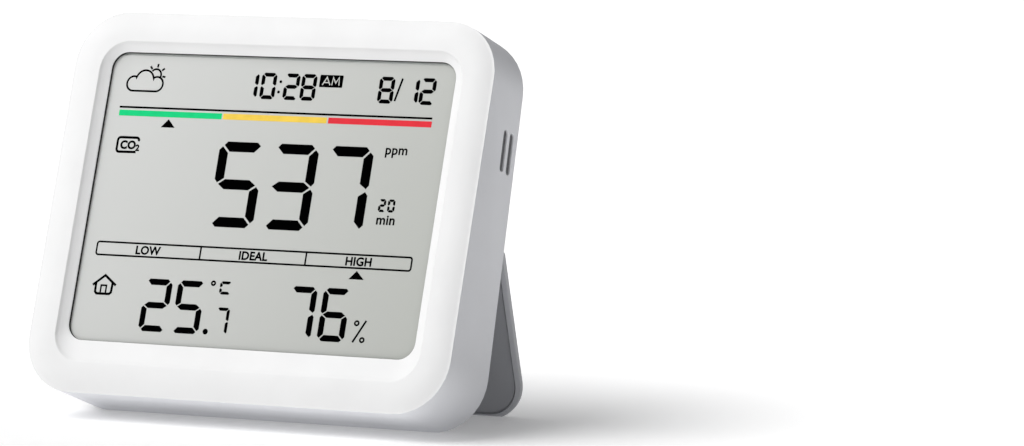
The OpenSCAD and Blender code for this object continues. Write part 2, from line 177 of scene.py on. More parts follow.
def display_face_material():
    """Anti-glare film over a reflective display: grey-green, lighter at the top left as painted light and
    darker to the bottom right as painted shade.
    """
    mat, tree, shader = new_material("display_face", 0.42, spec=0.3)
    coords = tree.nodes.new("ShaderNodeTexCoord")
    slant = tree.nodes.new("ShaderNodeVectorMath")
    slant.operation = "DOT_PRODUCT"
    slant.inputs[1].default_value = (1.0, 0.0, -0.35)
    tree.links.new(coords.outputs["Object"], slant.inputs[0])
    across = tree.nodes.new("ShaderNodeMapRange")
    across.inputs["From Min"].default_value = -0.058
    across.inputs["From Max"].default_value = 0.032
    tree.links.new(slant.outputs["Value"], across.inputs["Value"])
    # Painted light and shade: a lighter colour at the top left, a darker one at the bottom right.
    lighter = (0.640, 0.648, 0.634)
    darker = (0.470, 0.482, 0.452)
    base = ramp(tree, across.outputs["Result"], [(0.0, lighter), (1.0, darker)])
    tree.links.new(base, shader.inputs["Base Color"])
    bump(tree, shader, noise(tree, 1 / 0.00012, 2.0, 0.7), 0.05, 0.00001)
    return mat


def mesh_material():
    """Woven vent screen. On the vent pads its dark colour also stands for painted shade inside the slots.
    """
    mat, tree, shader = new_material("vent_mesh", 0.8, spec=0.2)
    coords = tree.nodes.new("ShaderNodeTexCoord")
    weave = tree.nodes.new("ShaderNodeTexChecker")
    weave.inputs["Scale"].default_value = 1 / 0.0002
    weave.inputs["Color1"].default_value = (0.07, 0.07, 0.075, 1)
    weave.inputs["Color2"].default_value = (0.19, 0.19, 0.2, 1)
    tree.links.new(coords.outputs["Object"], weave.inputs["Vector"])
    tree.links.new(weave.outputs["Color"], shader.inputs["Base Color"])
    bump(tree, shader, weave.outputs["Fac"], 0.4, 0.00005)
    return mat


def board_material():
    """Solder mask over copper pour: green with lighter traces."""
    mat, tree, shader = new_material("solder_mask", 0.35, coat=0.3)
    coords = tree.nodes.new("ShaderNodeTexCoord")
    cells = tree.nodes.new("ShaderNodeTexBrick")
    cells.inputs["Scale"].default_value = 1 / 0.006
    cells.inputs["Color1"].default_value = (0.012, 0.09, 0.035, 1)
    cells.inputs["Color2"].default_value = (0.016, 0.11, 0.045, 1)
    cells.inputs["Mortar"].default_value = (0.03, 0.17, 0.075, 1)
    cells.inputs["Mortar Size"].default_value = 0.03
    tree.links.new(coords.outputs["Object"], cells.inputs["Vector"])
    tree.links.new(cells.outputs["Color"], shader.inputs["Base Color"])
    bump(tree, shader, cells.outputs["Fac"], 0.2, 0.00003)
    return mat


CELL_LENGTH = 0.0505       # over the nipple, in metres


def jacket_material():
    """Cell jacket: bare steel at the ends, dark film with a paler band between."""
    mat, tree, shader = new_material("cell_jacket", 0.3, metal=0.35, coat=0.4)
    coords = tree.nodes.new("ShaderNodeTexCoord")
    split = tree.nodes.new("ShaderNodeSeparateXYZ")
    tree.links.new(coords.outputs["Object"], split.inputs["Vector"])
    along = tree.nodes.new("ShaderNodeMapRange")
    along.inputs["From Min"].default_value = -CELL_LENGTH / 2
    along.inputs["From Max"].default_value = CELL_LENGTH / 2
    tree.links.new(split.outputs["X"], along.inputs["Value"])
    steel, film, band = (0.6, 0.6, 0.6), (0.02, 0.025, 0.03), (0.55, 0.33, 0.06)
    rings = [(0.0, steel), (0.04, film), (0.72, band), (0.955, steel)]
    tree.links.new(ramp(tree, along.outputs["Result"], rings, stepped=True), shader.inputs["Base Color"])
    bump(tree, shader, noise(tree, 1 / 0.002, 2.0), 0.05, 0.00002)
    return mat


MATERIALS = {
    "cover": plastic("cover_plastic", (0.86, 0.86, 0.86), rough=0.45),
    # The housing and the door are painted greyer than the cover's white: painted shade for the housing's
    # side walls, which face away from the light.
    "housing": plastic("housing_plastic", (0.755, 0.762, 0.79), rough=0.48),
    "door": plastic("door_plastic", (0.755, 0.762, 0.79), rough=0.5, grain=0.2),
    # The stand is painted a darker grey than the housing: painted shade for its inner face, which faces
    # down under the body.
    "stand": plastic("stand_plastic", (0.50, 0.507, 0.53), rough=0.5, grain=0.2),
    # The pad's darker grey is painted shade, deeper in the stand's recess.
    "pad": plastic("stand_painted_shade_pad", (0.37, 0.375, 0.395), rough=0.7, grain=0.3),
    "button": plastic("button_plastic", (0.82, 0.82, 0.83), rough=0.38),
    "chassis": plastic("chassis_plastic", (0.35, 0.35, 0.36), rough=0.6, grain=0.3),
    "chip": plastic("chip_resin", (0.015, 0.015, 0.016), rough=0.5, grain=0.3),
    "elastomer": plastic("elastomer", (0.55, 0.28, 0.30), rough=0.7),
    "tape": plastic("tape", (0.02, 0.02, 0.02), rough=0.85, grain=0.3),
    "reflector": plastic("reflector_film", (0.62, 0.63, 0.61), rough=0.4),
    "pane": plastic("display_pane", (0.5, 0.53, 0.51), rough=0.12, grain=0.02),
    "steel": metal("plated_steel", (0.62, 0.62, 0.61)),
    "can": metal("tinned_can", (0.66, 0.66, 0.67), rough=0.38),
    "face": display_face_material(),
    "mesh": mesh_material(),
    "board": board_material(),
    "jacket": jacket_material(),
    "segment": ink("segment_black", (0.0006, 0.0006, 0.0007)),
    "knockout": ink("segment_clear", (0.60, 0.61, 0.585)),
    "green": ink("band_green", (0.018, 0.68, 0.235)),
    "yellow": ink("band_yellow", (0.92, 0.64, 0.10)),
    "red": ink("band_red", (0.80, 0.045, 0.062)),
}


# ---------------------------------------------------------------- mesh helpers

def arc(cx, cz, r, start, end, steps=16):
    """Points on an arc, from start to end in degrees."""
    angles = [math.radians(start + (end - start) * i / steps) for i in range(steps + 1)]
    return [(cx + r * math.cos(a), cz + r * math.sin(a)) for a in angles]


def rounded(w, z0, z1, r, steps=10):
    """Outline of a rounded rectangle in X and Z, anticlockwise seen from the front."""
    centres = [(w / 2 - r, z0 + r, -90), (w / 2 - r, z1 - r, 0),
               (-w / 2 + r, z1 - r, 90), (-w / 2 + r, z0 + r, 180)]
    points = []
    for cx, cz, start in centres:
        points += arc(cx, cz, r, start, start + 90, steps)
    return points


def pill(length, width, steps=10):
    """Outline of a slot or pill round the origin, long in its first axis."""
    reach = (length - width) / 2
    return arc(reach, 0.0, width / 2, -90, 90, steps) + arc(-reach, 0.0, width / 2, 90, 270, steps)


def inset_outline(inset, steps=10):
    """Outline of the body, moved inwards."""
    return rounded(BODY_W - 2 * inset, inset, BODY_H - inset, CORNER_R - inset, steps)


def level(points, y):
    """Give an outline a depth: a number, or a function of x and z."""
    return [(x, y(x, z) if callable(y) else y, z) for x, z in points]


def add_loft(bm, loops, closed=False, caps=False):
    """Skin a run of outlines that have the same number of points."""
    rings = [[bm.verts.new(p) for p in loop] for loop in loops]
    pairs = list(zip(rings, rings[1:]))
    if closed:
        pairs.append((rings[-1], rings[0]))
    for a, b in pairs:
        n = len(a)
        for i in range(n):
            j = (i + 1) % n
            bm.faces.new((a[i], a[j], b[j], b[i]))
    if caps:
        bm.faces.new(rings[0][::-1])
        bm.faces.new(rings[-1])


def add_lathe(bm, profile, place, steps=32):
    """Turn a profile of (radius, Y) round a line along Y through place; ends close on it."""
    cx, cy, cz = place
    rings = []
    for r, y in profile:
        count = 1 if r == 0 else steps
        angles = [2 * math.pi * i / steps for i in range(count)]
        rings.append([bm.verts.new((cx + r * math.cos(a), cy + y, cz + r * math.sin(a))) for a in angles])
    for a, b in zip(rings, rings[1:]):
        for i in range(steps):
            j = (i + 1) % steps
            quad = [a[i % len(a)], a[j % len(a)], b[j % len(b)], b[i % len(b)]]
            corners = list(dict.fromkeys(quad))
            if len(corners) > 2:
                bm.faces.new(corners)


def add_prism(bm, outline, y0, y1):
    """Thicken a flat outline in X and Z from y0 to y1."""
    add_loft(bm, [level(outline, y0), level(outline, y1)], caps=True)


def add_side_prism(bm, outline, x0, x1):
    """Thicken a flat outline in Y and Z from x0 to x1."""
    add_loft(bm, [[(x, y, z) for y, z in outline] for x in (x0, x1)], caps=True)


def link(name, data):
    piece = bpy.data.objects.new(name, data)
    bpy.context.collection.objects.link(piece)
    return piece


def solid(name, bm, matrix=UPRIGHT):
    """Turn a bmesh in millimetres into an object in the shared frame."""
    bmesh.ops.recalc_face_normals(bm, faces=bm.faces)
    bm.transform(matrix)
    mesh = bpy.data.meshes.new(name)
    bm.to_mesh(mesh)
    bm.free()
    return link(name, mesh)


def bake_modifiers(piece):
    depsgraph = bpy.context.evaluated_depsgraph_get()
    final = bpy.data.meshes.new_from_object(piece.evaluated_get(depsgraph))
    old = piece.data
    piece.modifiers.clear()
    piece.data = final
    final.name = piece.name
    bpy.data.meshes.remove(old)


def cut_away(piece, tools):
    """Take each tool's shape out of a piece, and delete the tools."""
    for tool in tools:
        cut = piece.modifiers.new("cut", "BOOLEAN")
        cut.operation = "DIFFERENCE"
        cut.solver = "EXACT"
        cut.object = tool
        bake_modifiers(piece)
    for tool in tools:
        mesh = tool.data
        bpy.data.objects.remove(tool)
        bpy.data.meshes.remove(mesh)


def round_edges(piece, width, segments=2):
    edge = piece.modifiers.new("edges", "BEVEL")
    edge.width = width * MM
    edge.segments = segments
    edge.limit_method = "ANGLE"
    edge.angle_limit = math.radians(30)
    edge.use_clamp_overlap = True
    bake_modifiers(piece)


def settle(name, bm, material, body, matrix=UPRIGHT, smooth_deg=35, edge_round=0.0, tools=()):
    """Turn a bmesh in millimetres into a finished piece that rides on a body."""
    piece = solid(name, bm, matrix)
    piece.data.materials.append(MATERIALS[material])
    cut_away(piece, tools)
    if edge_round:
        round_edges(piece, edge_round)
    piece.data.shade_smooth()
    piece.data.set_sharp_from_angle(angle=math.radians(smooth_deg))
    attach(piece, body)
    return piece


def table_cutter():
    """Everything below the table, which is at Z = 0 in the shared frame."""
    size = 0.4
    bm = bmesh.new()
    bmesh.ops.create_cube(bm, size=size)
    return solid("table_cutter", bm, Matrix.Translation((0, 0, -size / 2)))


# ---------------------------------------------------------------- front cover

CREASE = 0.05          # half the height of the small round where the bezel's side meets the groove
CROWN_H = 0.9          # rise of the bezel from its edge to its ridge
CROWN_W = 5.2
CROWN_CURVE = 2.1
DISH_Y = 0.35          # depth of the recess at the window
DISH_CURVE = 0.7
DISH_SIDE = 2.0        # width of the recess's slope beside, above and below the window
DISH_TOP = 1.9
DISH_BOTTOM = 4.5
SEAT_Y = 1.4           # end of the seat that holds the display's edge
SKIRT_Y = 3.4          # end of the skirt that enters the housing
BOSSES = [(x, z) for x in (-42.8, 42.8) for z in (12.0, 66.0)]


def crown_loops():
    """Outer edge and crown of the bezel."""
    loops = [level(inset_outline(0.09), 0.005), level(inset_outline(0.02), -CREASE),
             level(inset_outline(0.0), -2 * CREASE)]
    for i in range(11):
        s = 0.02 + 0.98 * i / 10
        rise = CROWN_H * (1 - (1 - s) ** CROWN_CURVE) + CREASE * (1 - s)
        loops.append(level(inset_outline(CROWN_W * s), -rise))
    return loops


def dish_outline(t):
    """Outline of the sloped recess: t is 0 at the window and 1 at the ridge."""
    return rounded(WINDOW_W + 2 * DISH_SIDE * t, WINDOW_Z0 - DISH_BOTTOM * t, WINDOW_Z1 + DISH_TOP * t,
                   WINDOW_R + 2.5 * t)


def dish_loops():
    """Over a tight ridge, then down a recess that flattens towards the window."""
    loops = [level(dish_outline(t), -CROWN_H) for t in (1.1, 1.05)]
    drop = CROWN_H + DISH_Y
    for t in (1.0, 0.93, 0.84, 0.72, 0.58, 0.44, 0.3, 0.15, 0.03):
        loops.append(level(dish_outline(t), -CROWN_H + drop * (1 - t) ** DISH_CURVE + 0.06 * t))
    return loops + [level(dish_outline(0.0), DISH_Y + 0.03), level(dish_outline(0.0), LIP_Y - 0.02)]


def cover_inside_loops():
    """Back of the lip, the display's seat, and the skirt that enters the housing."""
    seat = rounded(81.0, 8.3, 72.3, 1.0)
    skirt_in = inset_outline(3.2)
    skirt_out = inset_outline(2.0)
    return [level(seat, LIP_Y), level(seat, SEAT_Y), level(skirt_in, SEAT_Y), level(skirt_in, SKIRT_Y),
            level(skirt_out, SKIRT_Y), level(skirt_out, 0.3), level(inset_outline(1.85), 0.005)]


def make_front_cover():
    bm = bmesh.new()
    add_loft(bm, crown_loops() + dish_loops() + cover_inside_loops(), closed=True)
    boss = [(0, 1.3), (0.91, 1.3), (0.91, 5.9), (1.0, 6.0), (1.9, 6.0), (2.0, 5.9), (2.0, 1.0), (0, 1.0)]
    for x, z in BOSSES:
        add_lathe(bm, boss, (x, 0, z), steps=24)
    piece = settle("front_cover_shell", bm, "cover", "root", smooth_deg=40)
    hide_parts("front_cover")


def make_bezel_tape():
    """Black tape behind the window lip, with an edge turned up against the lip: the tape is the real
    part, and the turned-up black edge paints the shade in the gap at the window's edge.
    """
    def window(grow):
        return rounded(WINDOW_W + 2 * grow, WINDOW_Z0 - grow, WINDOW_Z1 + grow, WINDOW_R + grow)

    bm = bmesh.new()
    # The first two stations are the turned-up edge on the lip's wall: a dark sheet of painted shade.
    section = [(-0.06, 0.46), (-0.06, 0.945), (1.2, 0.945), (1.2, 0.82), (0.0, 0.82), (-0.005, 0.42)]
    add_loft(bm, [level(window(grow), y) for grow, y in section], closed=True)
    piece = settle("display_tape_and_painted_shade_edge", bm, "tape", "root", smooth_deg=30)
    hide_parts("display_bezel_tape")


# ---------------------------------------------------------------- rear housing

WALL = 1.8
VENT_Z = 54.8
VENT_Y = (8.7, 11.5)
VENT_LEN = 8.2
VENT_W = 1.6
VENTS = [(side, y) for side in (-1, 1) for y in VENT_Y]
REFRESH = (20.0, 7.0)      # X and Y of the button on top
REFRESH_SIZE = (14.0, 4.0)
UNIT_Z = 62.0              # height of the round button on the back
USB = (-8.0, 52.0)         # X and Z of the socket
USB_SIZE = (9.3, 3.6)


def back_plane(offset):
    """Depth of the sloped back, moved outwards by offset."""
    return lambda x, z: back_y(z) + offset


def vent_ring(side, y, x, grow):
    """Outline of a vent slot on the plane X = x, tilted like the back edge."""
    c, s = math.cos(BACK_TILT), math.sin(BACK_TILT)
    return [(side * x, y + across * c - along * s, VENT_Z + along * c + across * s)
            for along, across in pill(VENT_LEN + 2 * grow, VENT_W + 2 * grow)]


def vent_cutter(side, y):
    """A vent slot with a softened mouth."""
    bm = bmesh.new()
    wall_x = BODY_W / 2
    stations = [(wall_x - 3.0, 0.0), (wall_x - 0.1, 0.0), (wall_x + 0.02, 0.1), (wall_x + 0.3, 0.4)]
    add_loft(bm, [vent_ring(side, y, x, grow) for x, grow in stations], caps=True)
    return solid("vent_cutter", bm)


def bay_cutter():
    bm = bmesh.new()
    add_prism(bm, rounded(60.5, 3.4, 36.0, 2.0), 12.0, 22.0)
    return solid("bay_cutter", bm)


def screw_cutter(x, z):
    """Counterbore and clearance hole of a case screw."""
    bm = bmesh.new()
    mouth = back_y(z)
    add_lathe(bm, [(0, 4.0), (1.1, 4.0), (1.1, 8.2), (2.05, 8.2), (2.05, mouth - 0.3),
                   (2.35, mouth + 0.05), (2.9, mouth + 0.8), (0, mouth + 0.8)], (x, 0, z), steps=40)
    return solid("screw_cutter", bm)


def unit_cutter():
    bm = bmesh.new()
    mouth = back_y(UNIT_Z)
    add_lathe(bm, [(0, 8.0), (2.6, 8.0), (2.6, mouth - 0.25), (2.85, mouth + 0.03), (3.4, mouth + 0.8),
                   (0, mouth + 0.8)], (0, 0, UNIT_Z), steps=48)
    return solid("unit_cutter", bm)


def usb_cutter():
    bm = bmesh.new()
    mouth = back_y(USB[1])
    length, width = USB_SIZE
    loops = []
    for y, grow in ((9.0, 0.0), (mouth - 0.3, 0.0), (mouth + 0.02, 0.28), (mouth + 0.8, 0.9)):
        loops.append([(USB[0] + u, y, USB[1] + v) for u, v in pill(length + 2 * grow, width + 2 * grow)])
    add_loft(bm, loops, caps=True)
    return solid("usb_cutter", bm)


def refresh_loops(stations, gap=0.0):
    """Pills on the refresh button's own line, at (height, growth) stations."""
    length, width = REFRESH_SIZE
    return [[(REFRESH[0] + u, REFRESH[1] + v, z)
             for u, v in pill(length + gap + 2 * grow, width + gap + 2 * grow)] for z, grow in stations]


def refresh_cutter():
    """Opening of the refresh button, through the top."""
    bm = bmesh.new()
    stations = ((74.0, 0.0), (BODY_H - 0.25, 0.0), (BODY_H + 0.02, 0.24), (BODY_H + 0.8, 0.9))
    add_loft(bm, refresh_loops(stations, gap=0.4), caps=True)
    return solid("refresh_cutter", bm)


def hole_cutters():
    tools = [vent_cutter(side, y) for side, y in VENTS]
    tools.append(bay_cutter())
    tools += [screw_cutter(x, z) for x, z in BOSSES]
    return tools + [unit_cutter(), usb_cutter(), refresh_cutter(), table_cutter()]


def make_rear_housing():
    """Five-sided shell: inside from the back wall forwards, then outside from the crease back."""
    inner = [level(inset_outline(WALL), back_plane(-WALL)), level(inset_outline(WALL), 0.1),
             level(inset_outline(WALL - 0.08), 0.02)]
    outer = [level(inset_outline(0.14), 0.015), level(inset_outline(0.02), 0.1),
             level(inset_outline(0.0), 0.16)]
    for degrees in range(0, 91, 15):
        turn = math.radians(degrees)
        outer.append(level(inset_outline(REAR_R * (1 - math.cos(turn))),
                           back_plane(-REAR_R + REAR_R * math.sin(turn))))
    bm = bmesh.new()
    add_loft(bm, inner + outer, caps=True)
    piece = settle("rear_housing_shell", bm, "housing", "root", smooth_deg=32, tools=hole_cutters())
    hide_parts("rear_housing")


def make_screw_posts():
    """Tubes for the case screws, standing on the inside of the back."""
    bm = bmesh.new()
    for x, z in BOSSES:
        end = back_y(z) - WALL + 0.25
        add_lathe(bm, [(1.1, 6.1), (2.6, 6.1), (2.7, 6.2), (2.7, end), (2.05, end), (2.05, 8.2),
                       (1.1, 8.2), (1.1, 6.1)], (x, 0, z), steps=40)
    posts = settle("rear_housing_posts", bm, "housing", "root", smooth_deg=32)


def make_painted_vent_shade():
    """Dark pads in each slot, a little below the wall, in the screen's material: painted shade for the
    slots' shaded insides.
    """
    bm = bmesh.new()
    face_x = BODY_W / 2 - 0.25
    stations = [(face_x - 1.4, -0.05), (face_x - 0.1, -0.05), (face_x, -0.2)]
    for side, y in VENTS:
        add_loft(bm, [vent_ring(side, y, x, grow) for x, grow in stations], caps=True)
    pads = settle("vent_painted_shade_pads", bm, "mesh", "root", smooth_deg=30)


# ---------------------------------------------------------------- battery door

FLANGE = (79.6, 2.0, 43.0, 5.0)     # width, lowest Z, highest Z and corner radius
BULGE = (62.0, 2.4, 33.5, 3.0)
BULGE_TOP = 21.1
BULGE_EDGE = 2.0
LUG_X = (-34.65, -23.85, 21.35, 32.15)
LUG_W = 2.5
LUG_R = 1.7


def door_ring(shape, inset, y):
    w, z0, z1, r = shape
    return level(rounded(w - 2 * inset, z0 + inset, z1 - inset, max(r - inset, 0.4)), y)


def bulge_round(turn):
    """Depth on the bulge's rounded edge, which turns from its side to its top."""
    def depth(x, z):
        side = max(back_y(z) + 1.72, BULGE_TOP - BULGE_EDGE)
        return side * (1 - math.sin(turn)) + BULGE_TOP * math.sin(turn)
    return depth


def make_battery_door():
    # Inside of the bulge, so that the cells have room.
    loops = [door_ring(BULGE, 2.0, 20.0), door_ring(BULGE, 1.4, 19.8), door_ring(BULGE, 1.1, 19.2),
             door_ring(BULGE, 1.1, back_plane(0.05))]
    loops += [door_ring(FLANGE, 0.0, back_plane(0.05)), door_ring(FLANGE, 0.0, back_plane(1.1)),
              door_ring(FLANGE, 0.09, back_plane(1.31)), door_ring(FLANGE, 0.3, back_plane(1.4))]
    # The bulge leaves the flange near its lower edge, so the foot of the blend is kept narrow.
    loops += [door_ring(BULGE, -0.32, back_plane(1.4)), door_ring(BULGE, -0.1, back_plane(1.46)),
              door_ring(BULGE, 0.0, lambda x, z: min(back_y(z) + 1.7, BULGE_TOP - BULGE_EDGE))]
    for degrees in range(0, 91, 15):
        turn = math.radians(degrees)
        loops.append(door_ring(BULGE, BULGE_EDGE * (1 - math.cos(turn)), bulge_round(turn)))
    bm = bmesh.new()
    add_loft(bm, loops, caps=True)
    piece = settle("battery_door_shell", bm, "door", "battery_door", smooth_deg=32)
    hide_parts("battery_door")


def make_door_lugs():
    """Four lugs on the door that carry the hinge pins."""
    foot = back_y(HINGE_Z) + 1.2
    outline = arc(HINGE_Y, HINGE_Z, LUG_R, -90, 90, 24)
    outline += [(foot, HINGE_Z + LUG_R + 1.2), (foot, HINGE_Z - LUG_R)]
    for index, x0 in enumerate(LUG_X):
        bm = bmesh.new()
        add_side_prism(bm, outline, x0, x0 + LUG_W)
        lug = settle(f"door_lug_{index + 1}", bm, "door", "battery_door", edge_round=0.2)


# ---------------------------------------------------------------- stand

STAND_W = 87.7
STAND_Y0 = 21.3            # face towards the body, and back face, when folded
STAND_Y1 = 23.0
STAND_Z0 = 1.35
STAND_FOOT_R = 8.0
BARREL_R = 1.8
BARREL_X = (24.0, 32.0)
STAND_TOP = HINGE_Z + BARREL_R
NOTCH_W = 71.0
NOTCH_Z = 33.7
NOTCH_R = 0.6
NOTCH_MOUTH_R = 0.5


def stand_outline(inset):
    """Folded stand seen from behind, with its hinge notch; inset keeps an even rim."""
    w = STAND_W / 2 - inset
    z1 = STAND_TOP - inset
    foot_r = STAND_FOOT_R - inset
    top_r = max(1.6 - inset, 0.4)
    notch_x = NOTCH_W / 2 + inset
    # The notch's inner corners follow the outer edge, and stay tight inside the rim.
    notch_r = NOTCH_R + (inset if inset < NOTCH_R else 0.0)
    half = arc(w - foot_r, STAND_Z0 + inset + foot_r, foot_r, -90, 0, 16)
    half += arc(w - top_r, z1 - top_r, top_r, 0, 90, 8)
    half += arc(notch_x + NOTCH_MOUTH_R, z1 - NOTCH_MOUTH_R, NOTCH_MOUTH_R, 90, 180, 6)
    half += arc(notch_x - notch_r, NOTCH_Z - inset + notch_r, notch_r, 0, -90, 6)
    return half + [(-x, z) for x, z in reversed(half)]


def make_stand():
    back_edge = [(0.4, STAND_Y1), (0.3, STAND_Y1), (0.08, STAND_Y1 - 0.08), (0.0, STAND_Y1 - 0.3)]
    front_edge = [(0.0, STAND_Y0 + 0.36), (0.05, STAND_Y0 + 0.27)]
    rim = [(0.88, STAND_Y0 + 0.02), (0.95, STAND_Y0 + 0.03), (0.99, STAND_Y0 + 0.1)]
    recess = [(1.02, STAND_Y0 + 0.76), (1.1, STAND_Y0 + 0.8), (1.2, STAND_Y0 + 0.8)]
    bm = bmesh.new()
    profile = back_edge + front_edge + rim + recess
    add_loft(bm, [level(stand_outline(inset), y) for inset, y in profile], caps=True)
    piece = settle("stand_plate", bm, "stand", "stand", matrix=OPEN_STAND, smooth_deg=32,
                   tools=[table_cutter()])
    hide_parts("stand")


def make_painted_shade_pad():
    """Darker pad on the floor of the recess, inside the rim: a dark sheet of painted shade on the stand's
    inner face.
    """
    bm = bmesh.new()
    profile = [(1.3, STAND_Y0 + 0.86), (1.3, STAND_Y0 + 0.5),
               (1.38, STAND_Y0 + 0.45), (1.5, STAND_Y0 + 0.45)]
    add_loft(bm, [level(stand_outline(inset), y) for inset, y in profile], caps=True)
    pad = settle("stand_painted_shade_pad", bm, "pad", "stand", matrix=OPEN_STAND, smooth_deg=32)


def make_stand_barrels():
    """Hinge barrels between the door's lugs, each with a web down to the plate."""
    web_z = HINGE_Z - 3.2
    outline = arc(HINGE_Y, HINGE_Z, BARREL_R, -60, 190, 30)
    outline += [(HINGE_Y + 0.15, web_z), (STAND_Y1 - 0.02, web_z)]
    for name, side in (("stand_barrel_left", -1), ("stand_barrel_right", 1)):
        bm = bmesh.new()
        add_side_prism(bm, outline, BARREL_X[0] * side, BARREL_X[1] * side)
        barrel = settle(name, bm, "stand", "stand", matrix=OPEN_STAND, edge_round=0.12)


# ---------------------------------------------------------------- buttons

def make_refresh_button():
    top = BODY_H + 0.5
    stem = ((74.1, 0.0), (75.0, 0.0), (75.0, 1.0), (75.9, 1.0), (75.9, 0.0))
    cap = ((top - 0.35, 0.0), (top - 0.12, -0.08), (top - 0.02, -0.3), (top, -0.7))
    bm = bmesh.new()
    add_loft(bm, refresh_loops(stem + cap), caps=True)
    piece = settle("refresh_button_cap", bm, "button", "refresh_button", smooth_deg=32)
    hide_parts("refresh_button")


def make_unit_button():
    top = back_y(UNIT_Z) - 0.3
    stem = [(0, 9.5), (2.4, 9.5), (2.4, 11.2), (3.3, 11.2), (3.3, 11.9), (2.4, 11.9)]
    cap = [(2.4, top - 0.3), (2.3, top - 0.08), (2.05, top), (1.2, top - 0.1), (0, top - 0.16)]
    bm = bmesh.new()
    add_lathe(bm, stem + cap, (0, 0, UNIT_Z), steps=48)
    piece = settle("unit_button_cap", bm, "button", "unit_button", smooth_deg=32)
    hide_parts("unit_button")


# ---------------------------------------------------------------- display figures

INK_T = 0.02
LINE = 0.4             # widths of the display's lines
THIN = 0.36
BOLD = 0.5
LIT = {"0": "abcdef", "1": "bc", "2": "abged", "3": "abgcd", "5": "afgcd", "6": "afgedc", "7": "abc",
       "8": "abcdefg", "C": "afed"}


def figure(name, shapes, material="segment", rise=0.0):
    """Thin flat figures on the display face. shapes is a list of outlines in X and Z."""
    bm = bmesh.new()
    for outline in shapes:
        add_prism(bm, outline, FACE_Y - rise - INK_T, FACE_Y - rise)
    piece = settle(name, bm, material, "root", smooth_deg=20)


def digit(char, x0, z0, w, h, t, gap):
    """Outlines of a segment figure: mitred ends, cut outer corners."""
    c = 0.7 * t
    g = gap / 2 * 1.414
    mid = h / 2
    tip = 0.3 * t
    top = [(c + g, h), (c / 2 + g, h - c / 2), (t + g, h - t), (w - t - g, h - t),
           (w - c / 2 - g, h - c / 2), (w - c - g, h)]
    upper_left = [(0, h - c - g), (c / 2, h - c / 2 - g), (t, h - t - g), (t, mid + t / 2 + g * 0.8),
                  (tip, mid + g), (0, mid + c / 2 + g)]
    middle = [(tip + g, mid), (t + g, mid + t / 2), (w - t - g, mid + t / 2), (w - tip - g, mid),
              (w - t - g, mid - t / 2), (t + g, mid - t / 2)]

    def flip_z(points):
        return [(x, h - z) for x, z in points]

    def flip_x(points):
        return [(w - x, z) for x, z in points]

    bars = {"a": top, "d": flip_z(top), "g": middle, "f": upper_left, "b": flip_x(upper_left),
            "e": flip_z(upper_left), "c": flip_x(flip_z(upper_left))}
    return [[(x0 + x, z0 + z) for x, z in bars[s]] for s in LIT[char]]


def number(text, x0, z0, w, h, t, gap, pitch):
    shapes = []
    for i, char in enumerate(text):
        shapes += digit(char, x0 + i * pitch, z0, w, h, t, gap)
    return shapes


def stroke(points, width, closed=False):
    """A line of even width as one outline per stretch, mitred where stretches meet."""
    n = len(points)
    normals = []
    for i in range(n):
        before = Vector(points[i]) - Vector(points[i - 1]) if (i > 0 or closed) else None
        after = Vector(points[(i + 1) % n]) - Vector(points[i]) if (i < n - 1 or closed) else None
        parts = [Vector((-d.y, d.x)).normalized() for d in (before, after) if d is not None]
        out = sum(parts, Vector((0, 0))).normalized()
        normals.append(out / max(out.dot(parts[0]), 0.5))
    shapes = []
    for i in range(n if closed else n - 1):
        j = (i + 1) % n
        a, b = Vector(points[i]), Vector(points[j])
        da, db = normals[i] * width / 2, normals[j] * width / 2
        shapes.append([tuple(a - da), tuple(b - db), tuple(b + db), tuple(a + da)])
    return shapes


def disc(cx, cz, r, steps=20):
    return arc(cx, cz, r, 0, 360 * (steps - 1) / steps, steps - 1)


def box_outline(x0, x1, z0, z1, r):
    shape = rounded(x1 - x0, z0, z1, r, steps=4)
    return [(x + (x0 + x1) / 2, z) for x, z in shape]


def lettering(name, text, x, z, size, centred=False, weight=0.05):
    """Plain generic lettering in Blender's own font, as thin raised figures."""
    curve = bpy.data.curves.new(name, "FONT")
    curve.body = text
    curve.size = size * MM
    curve.extrude = INK_T / 2 * MM
    curve.resolution_u = 4
    curve.offset = weight * MM
    curve.space_character = 1.04
    if centred:
        curve.align_x = "CENTER"
    temp = link(name, curve)
    depsgraph = bpy.context.evaluated_depsgraph_get()
    mesh = bpy.data.meshes.new_from_object(temp.evaluated_get(depsgraph))
    bpy.data.objects.remove(temp)
    bpy.data.curves.remove(curve)
    stand_up = (UPRIGHT @ Matrix.Translation((x, FACE_Y - INK_T / 2, z))
                @ Matrix.Rotation(math.radians(90), 4, "X") @ Matrix.Scale(1 / MM, 4))
    mesh.transform(stand_up)
    mesh.name = name
    mesh.materials.clear()
    mesh.materials.append(MATERIALS["segment"])
    piece = link(name, mesh)
    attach(piece, "root")


def make_weather_icon():
    """Three lobes of a cloud on a flat base, and the sun behind them."""
    sun_x, sun_z = -28.6, 65.5
    cloud = (arc(-28.15, 63.6, 1.5, -90, 122) + arc(-30.95, 64.4, 2.0, 5, 168)
             + arc(-33.4, 63.6, 1.5, 72, 270))
    icon = stroke(cloud, LINE, closed=True) + stroke(arc(sun_x, sun_z, 1.2, -18, 142, 12), LINE)
    for degrees in (-10, 37, 84, 130):
        c, s = math.cos(math.radians(degrees)), math.sin(math.radians(degrees))
        icon += stroke([(sun_x + r * c, sun_z + r * s) for r in (1.55, 2.3)], LINE)
    figure("display_weather_icon", icon)


